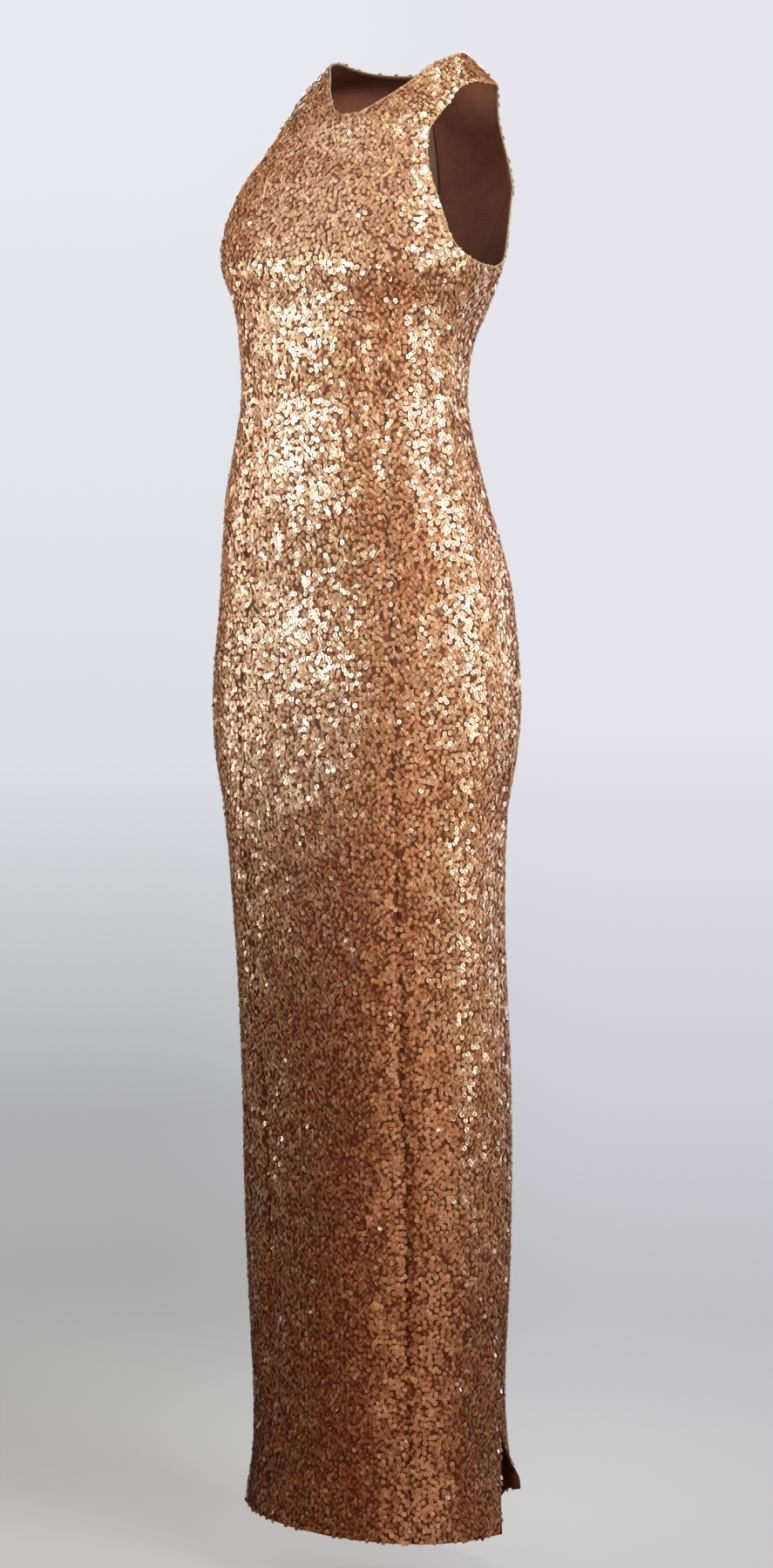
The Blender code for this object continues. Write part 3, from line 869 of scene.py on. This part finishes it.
def drop_covered(made, low, high):
    """Remove the faces whose middle lies in a box, such as under the zip's slider."""
    shape = bmesh.new()
    shape.from_mesh(made.data)
    inside = [face for face in shape.faces
              if all(a < c < b for a, c, b in zip(low, face.calc_center_median(), high))]
    bmesh.ops.delete(shape, geom=inside, context="FACES")
    shape.to_mesh(made.data)
    shape.free()


SEQUIN_SIZES = {"Spacing": 0.0034, "Radius": 0.0027, "Stand-off": 0.0009, "Own tilt": math.radians(6),
                "Shared tilt": math.radians(33), "Patch size": 0.016}
THREAD_SIZES = {"Spacing": 0.0035, "Length": 0.0054, "Width": 0.0009, "Stand-off": 0.0018,
                "Lean": math.radians(33)}
slider_low, slider_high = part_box("zip_slider")
CLEAR = Vector((0.003, 0.02, 0.002))
total = 0
SEWN = (("_sequins", sew_sequins, SEQUIN_SIZES), ("_threads", sew_threads, THREAD_SIZES))
for seed, (name, mesh) in enumerate(panels.items()):
    for ending, tree, sizes in SEWN:
        made = grow(name + ending, mesh, tree, {**sizes, "Seed": seed})
        if name.startswith("back_centre"):
            drop_covered(made, slider_low - CLEAR, slider_high + CLEAR)
        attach(made, "gown")
        total += len(made.data.polygons)
        print(made.name, len(made.data.polygons))
print("sequins and stitches:", total)

# %% [markdown]
# ## Bound edges
# The neckline and the armholes are turned over and bound with a narrow tape. The grids already hold the
# points of those edges, so we string them together as lines and let Geometry Nodes sweep a round along them.


# %% Lines of the free edges
def edge_lines():
    """The neckline as one open line, and the two armholes as closed ones."""
    body = front_centre_grid()
    necks, armholes = [], []
    for side in (1, -1):
        front, behind = strap_grid(FRONT_YOKE, False, side), back_centre_grid(side)
        necks.append([row[0] for row in front] + [row[0] for row in behind[:NECK_MESH_ROW - 1:-1]])
        outer = -1 if side > 0 else 0
        below = [row[outer] for row in body[len(HEIGHTS):NECK_MESH_ROW]]
        armholes.append([row[-1] for row in front[::-1]] + below[::-1] + side_grid(side, False)[-1]
                        + side_grid(side, True)[-1][::-1] + [row[-1] for row in behind[len(HEIGHTS):]])
    return [(necks[1][:0:-1] + necks[0], False), (armholes[0], True), (armholes[1], True)]


def line_mesh(lines):
    """Lines of points as a mesh of edges."""
    points, edges = [], []
    for line, closed in lines:
        first = len(points)
        points += [tuple(point) for point in line]
        edges += [(k, k + 1) for k in range(first, len(points) - 1)]
        if closed:
            edges.append((len(points) - 1, first))
    mesh = bpy.data.meshes.new("edge_lines")
    mesh.from_pydata(points, edges, [])
    return mesh


def binding_tree():
    """A round swept along lines."""
    tree, given, leave = new_tree("bind_edges", ["Radius"])
    curve = add_node(tree, "GeometryNodeMeshToCurve", {"Mesh": given["Geometry"]})
    profile = add_node(tree, "GeometryNodeCurvePrimitiveCircle", {
        "Resolution": 8, "Radius": given["Radius"]})
    swept = add_node(tree, "GeometryNodeCurveToMesh", {
        "Curve": curve.outputs["Curve"], "Profile Curve": profile.outputs["Curve"], "Fill Caps": True})
    paint(tree, leave, swept.outputs["Mesh"], edge_binding, True)
    return tree


BINDING_RADIUS = 0.0009
binding = grow("edge_binding", line_mesh(edge_lines()), binding_tree(), {"Radius": BINDING_RADIUS})
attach(binding, "gown")
print("binding faces:", len(binding.data.polygons))

# %% [markdown]
# ## The cloth itself
# Under the sequins is a fine net on a backing.

# %% Cloth panels
WALL = 0.0015


def cloth_piece(node, mesh):
    """A panel of net with its wall, in place of its CAD node."""
    mesh.materials.append(backed_net)
    made = place(node + "_cloth", mesh)
    wall = made.modifiers.new("wall", "SOLIDIFY")
    wall.thickness = WALL
    wall.offset = -1.0
    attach(made, "gown")
    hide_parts(node)
    return made


for node, mesh in panels.items():
    cloth_piece(node, mesh)
print("cloth panels:", len(panels))

# %% [markdown]
# ## The zip
# The tape lies behind the centre back seam and only its slider and pull show. They keep their CAD shape and
# get a finish: woven tape, and brass that is a little worn. The coil of teeth lies on the inner face of the
# tape, as it does in a concealed zip, so it shows only from inside.


# %% Zip materials
def clouded(name, scale, detail, dark, pale):
    """A material in two clouded tones, and its cloud for further use."""
    material, tree, shader = new_material(name)
    cloud = noise(tree, object_place(tree), scale, detail).outputs["Fac"]
    set_inputs(tree, shader, {"Base Color": ramp(tree, cloud, [(0.3, dark), (0.7, pale)])})
    return material, tree, shader, cloud


def brass_material():
    """Polished brass with fine scratches."""
    material, tree, shader, cloud = clouded("zip_brass", 2500.0, 4.0, (0.50, 0.33, 0.17), (0.70, 0.50, 0.30))
    set_inputs(tree, shader, {"Metallic": 1.0, "Roughness": remap(tree, cloud, (0.0, 1.0, 0.18, 0.42))})
    return material


def coil_material():
    """Smooth brown nylon."""
    material, tree, shader, cloud = clouded("zip_nylon", 1500.0, 3.0, (0.15, 0.075, 0.042),
                                            (0.25, 0.14, 0.085))
    set_inputs(tree, shader, {"Roughness": 0.38, "Normal": bumped(tree, cloud, 0.3, 0.0001)})
    return material


tape_cloth = ribbed("zip_tape_cloth", 400.0, 1.0,
                    [(0.0, (0.11, 0.050, 0.025)), (1.0, (0.24, 0.125, 0.070))], 0.5, 0.0002, 0.85)
zip_brass = brass_material()
zip_nylon = coil_material()
for node, material in (("zip_tape", tape_cloth), ("zip_slider", zip_brass), ("zip_pull", zip_brass)):
    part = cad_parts[node]
    for k in range(len(part.material_slots)):
        part.material_slots[k].material = material
print("zip finished")

# %% Coil of teeth
COIL_TOP = -0.042
COIL_FOOT = -0.570
COIL_DEPTH = 0.0040
COIL_STEPS = 60
COIL_SIZES = {"Spacing": 0.0014, "Reach": 0.0016, "Thickness": 0.00045, "Shift": 0.0008}


def coil_tree():
    """Small beads along a line, each reaching to one side and the next to the other."""
    tree, given, leave = new_tree("zip_coil", ["Spacing", "Reach", "Thickness", "Shift"])
    curve = add_node(tree, "GeometryNodeMeshToCurve", {"Mesh": given["Geometry"]})
    along = add_node(tree, "GeometryNodeCurveToPoints", {
        "Curve": curve.outputs["Curve"], "Length": given["Spacing"]}, mode="LENGTH")
    index = add_node(tree, "GeometryNodeInputIndex").outputs["Index"]
    side = maths(tree, "SUBTRACT", maths(tree, "MODULO", index, 2.0), 0.5)
    aside = add_node(tree, "ShaderNodeCombineXYZ", {
        "X": maths(tree, "MULTIPLY", side, given["Shift"])})
    moved = add_node(tree, "GeometryNodeSetPosition", {"Geometry": along.outputs["Points"],
                                                       "Offset": aside.outputs["Vector"]})
    facing = add_node(tree, "FunctionNodeAlignRotationToVector", {
        "Vector": along.outputs["Tangent"]}, axis="Z")
    level = add_node(tree, "FunctionNodeAlignRotationToVector", {
        "Rotation": facing.outputs["Rotation"], "Vector": (1.0, 0.0, 0.0)}, axis="X", pivot_axis="Z")
    size = add_node(tree, "ShaderNodeCombineXYZ", {
        "X": given["Reach"], "Y": given["Thickness"], "Z": given["Thickness"]})
    bead = add_node(tree, "GeometryNodeMeshIcoSphere", {"Radius": 1.0, "Subdivisions": 2})
    placed = add_node(tree, "GeometryNodeInstanceOnPoints", {
        "Points": moved.outputs["Geometry"], "Instance": bead.outputs["Mesh"],
        "Rotation": level.outputs["Rotation"], "Scale": size.outputs["Vector"]})
    finish_tree(tree, leave, placed.outputs["Instances"], zip_nylon)
    return tree


coil_heights = [COIL_TOP + (COIL_FOOT - COIL_TOP) * u for u in even(COIL_STEPS)]
coil_line = [form(math.pi, height) - outward(math.pi, height) * COIL_DEPTH for height in coil_heights]
coil = grow("zip_teeth", line_mesh([(coil_line, False)]), coil_tree(), COIL_SIZES)
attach(coil, "gown")
print("coil faces:", len(coil.data.polygons))

# %% [markdown]
# ## Camera
# The photograph was taken from the wearer's left front, a little above the hips, with a long lens. The
# focal length and the small shift come from fitting the gown's outline to the picture of 887 by 1800 pixels.

# %% Camera
IMAGE_WIDTH = 887
IMAGE_HEIGHT = 1800
FOCAL_PIXELS = 5111.7
PRINCIPAL_X = 425.75
PRINCIPAL_Y = 898.57
CAMERA_TURN = 30
CAMERA_PITCH = 6
CAMERA_PLACE = (2.25, -3.957, -0.26)
SENSOR = 36.0
camera_data = bpy.data.cameras.new("camera")
camera_data.sensor_width = SENSOR
camera_data.lens = FOCAL_PIXELS / IMAGE_HEIGHT * SENSOR
camera_data.shift_x = (IMAGE_WIDTH / 2 - PRINCIPAL_X) / IMAGE_HEIGHT
camera_data.shift_y = (PRINCIPAL_Y - IMAGE_HEIGHT / 2) / IMAGE_HEIGHT
camera_data.clip_end = 200.0
camera = place("camera", camera_data)
camera.location = CAMERA_PLACE
camera.rotation_euler = (math.radians(90 - CAMERA_PITCH), 0, math.radians(CAMERA_TURN))
bpy.context.scene.camera = camera
print("lens:", round(camera_data.lens, 1), "mm")

# %% [markdown]
# ## Studio
# A pale floor fades into a pale backdrop. Only the camera sees them, so the lamps alone light the gown: a
# soft box at the left, level with the bust, makes the flashes from bust to hip. Small ones at the right
# make the bright band down the side, large ones above and below fill the rest, the lower one in a warmer
# tone, and two behind draw the edges.


# %% Floor and backdrop
def painted_backdrop_material():
    """Plain paper with painted light: pale above, greyer below, a painted shadow low at the left."""
    material = bpy.data.materials.new("backdrop_paper_painted_light")
    material.use_nodes = True
    tree = material.node_tree
    tree.nodes.remove(tree.nodes["Principled BSDF"])
    place_in = object_place(tree)
    parts = add_node(tree, "ShaderNodeSeparateXYZ", {"Vector": place_in})
    height = remap(tree, parts.outputs["Z"], (-0.30, 0.10, 0.0, 1.0))
    # Painted light: both ramps fade from pale at the top to grey below, and the dark band low in the left
    # one is a painted shadow.
    left = ramp(tree, height, [(0.0, (0.52, 0.51, 0.50)), (0.12, (0.42, 0.42, 0.42)),
                               (0.24, (0.43, 0.43, 0.44)), (0.46, (0.71, 0.74, 0.77)),
                               (0.9, (0.80, 0.84, 0.87))])
    right = ramp(tree, height, [(0.0, (0.66, 0.65, 0.67)), (0.2, (0.58, 0.58, 0.62)),
                                (0.5, (0.79, 0.78, 0.83)), (0.9, (0.79, 0.78, 0.83))])
    # Painted light: the right side is mixed in brighter than the left.
    turn = add_node(tree, "ShaderNodeVectorMath", {0: place_in, 1: (0.866, 0.5, 0.0)},
                    operation="DOT_PRODUCT")
    aside = remap(tree, turn.outputs["Value"], (-0.06, 0.06, 0.0, 1.0), interpolation_type="SMOOTHSTEP")
    painted_light_mix = add_node(tree, "ShaderNodeMix", data_type="RGBA")
    set_inputs(tree, painted_light_mix, {0: aside, 6: left, 7: right})
    light = add_node(tree, "ShaderNodeEmission", {"Color": painted_light_mix.outputs[2]})
    tree.links.new(light.outputs["Emission"], tree.nodes["Material Output"].inputs["Surface"])
    return material


def stage_piece(name, shape, material):
    """A piece of the studio that only the camera sees."""
    mesh = to_mesh(name, shape)
    mesh.materials.append(material)
    made = place(name, mesh)
    for ray in ("visible_diffuse", "visible_glossy", "visible_transmission", "visible_shadow"):
        setattr(made, ray, False)
    return made


BACKDROP_RADIUS = 40.0
shape = bmesh.new()
bmesh.ops.create_uvsphere(shape, u_segments=64, v_segments=32, radius=1.0)
bmesh.ops.reverse_faces(shape, faces=shape.faces)
backdrop = stage_piece("backdrop", shape, painted_backdrop_material())
backdrop.data.shade_smooth()
backdrop.scale = (BACKDROP_RADIUS,) * 3
print("backdrop ready")

# %% Floor
FLOOR_HEIGHT = -1.56
FLOOR_RADIUS = 2.6


def floor_material():
    """Pale painted floor that fades out towards its edge."""
    material, tree, shader = new_material("studio_floor")
    place_in = object_place(tree)
    fade = remap(tree, length_of(tree, place_in), (0.5, FLOOR_RADIUS * 0.9, 0.5, 0.0),
                 interpolation_type="SMOOTHSTEP")
    cloud = noise(tree, place_in, 3.0, 5.0)
    colour = ramp(tree, cloud.outputs["Fac"], [(0.3, (0.60, 0.60, 0.60)), (0.7, (0.64, 0.635, 0.63))])
    set_inputs(tree, shader, {"Base Color": colour, "Roughness": 0.6, "Alpha": fade,
                              "Emission Color": (0.50, 0.485, 0.475, 1.0), "Emission Strength": 0.40})
    return material


shape = bmesh.new()
bmesh.ops.create_circle(shape, cap_ends=True, segments=96, radius=FLOOR_RADIUS)
stage_piece("floor", shape, floor_material()).location.z = FLOOR_HEIGHT
print("floor at", FLOOR_HEIGHT)


# %% Lamps
GOWN_AXIS_Y = -0.06


def soft_box(name, turn, distance, height, size, power, aim_height, spread, colour):
    """A rectangular lamp at a turn round the gown, aimed at the gown's axis. A small spread is a grid."""
    lamp = bpy.data.lights.new(name, "AREA")
    lamp.spread = math.radians(spread)
    lamp.shape = "RECTANGLE"
    lamp.size, lamp.size_y = size
    lamp.energy = power
    lamp.color = colour
    made = place(name, lamp)
    angle = math.radians(turn)
    made.location = (math.sin(angle) * distance, -math.cos(angle) * distance, height)
    aim = Vector((0, GOWN_AXIS_Y, aim_height)) - made.location
    made.rotation_euler = aim.to_track_quat("-Z", "Y").to_euler()
    made.visible_camera = False


COOL = (0.90, 0.97, 1.0)
WARM = (1.0, 0.47, 0.26)
WHITE = (1.0, 1.0, 1.0)
LAMPS = [
    ("left_box", -32, 2.3, -0.14, (1.4, 0.60), 4.6, -0.24, 38, COOL),
    ("top_box", -20, 1.3, 2.3, (3.0, 2.4), 7.2, -0.60, 130, (0.92, 0.95, 0.90)),
    ("front_box", 64, 2.6, 0.0, (1.5, 0.7), 4.2, -0.45, 60, COOL),
    ("chest_box", -50, 1.6, 1.5, (1.8, 1.4), 1.5, -0.10, 60, COOL),
    ("near_box", 65, 1.2, 1.6, (0.5, 0.5), 3.4, -0.15, 50, COOL),
    ("side_box", 90, 2.0, -0.08, (0.6, 0.6), 1.4, -0.30, 40, COOL),
    ("low_box", 96, 2.2, -1.06, (0.6, 0.6), 0.52, -0.75, 24, (1.0, 0.86, 0.72)),
    ("skirt_box", 35, 2.4, -1.50, (2.6, 1.8), 5.8, -1.40, 90, WARM),
    ("far_box", -75, 2.2, -0.60, (0.8, 1.0), 1.6, -0.60, 45, (1.0, 0.84, 0.74)),
    ("rim_box", 150, 2.2, -0.60, (0.5, 1.4), 2.7, -0.80, 70, WHITE),
    ("back_box", 210, 2.4, 0.30, (1.4, 1.2), 8, -0.4, 80, WHITE),
]
for row in LAMPS:
    soft_box(*row)
world = bpy.data.worlds.new("studio")
world.use_nodes = True
set_inputs(world.node_tree, world.node_tree.nodes["Background"],
           {"Color": (0.85, 0.87, 0.92, 1.0), "Strength": 0.02})
bpy.context.scene.world = world
bpy.context.scene.view_settings.view_transform = "Standard"
print("lamps:", len(LAMPS))
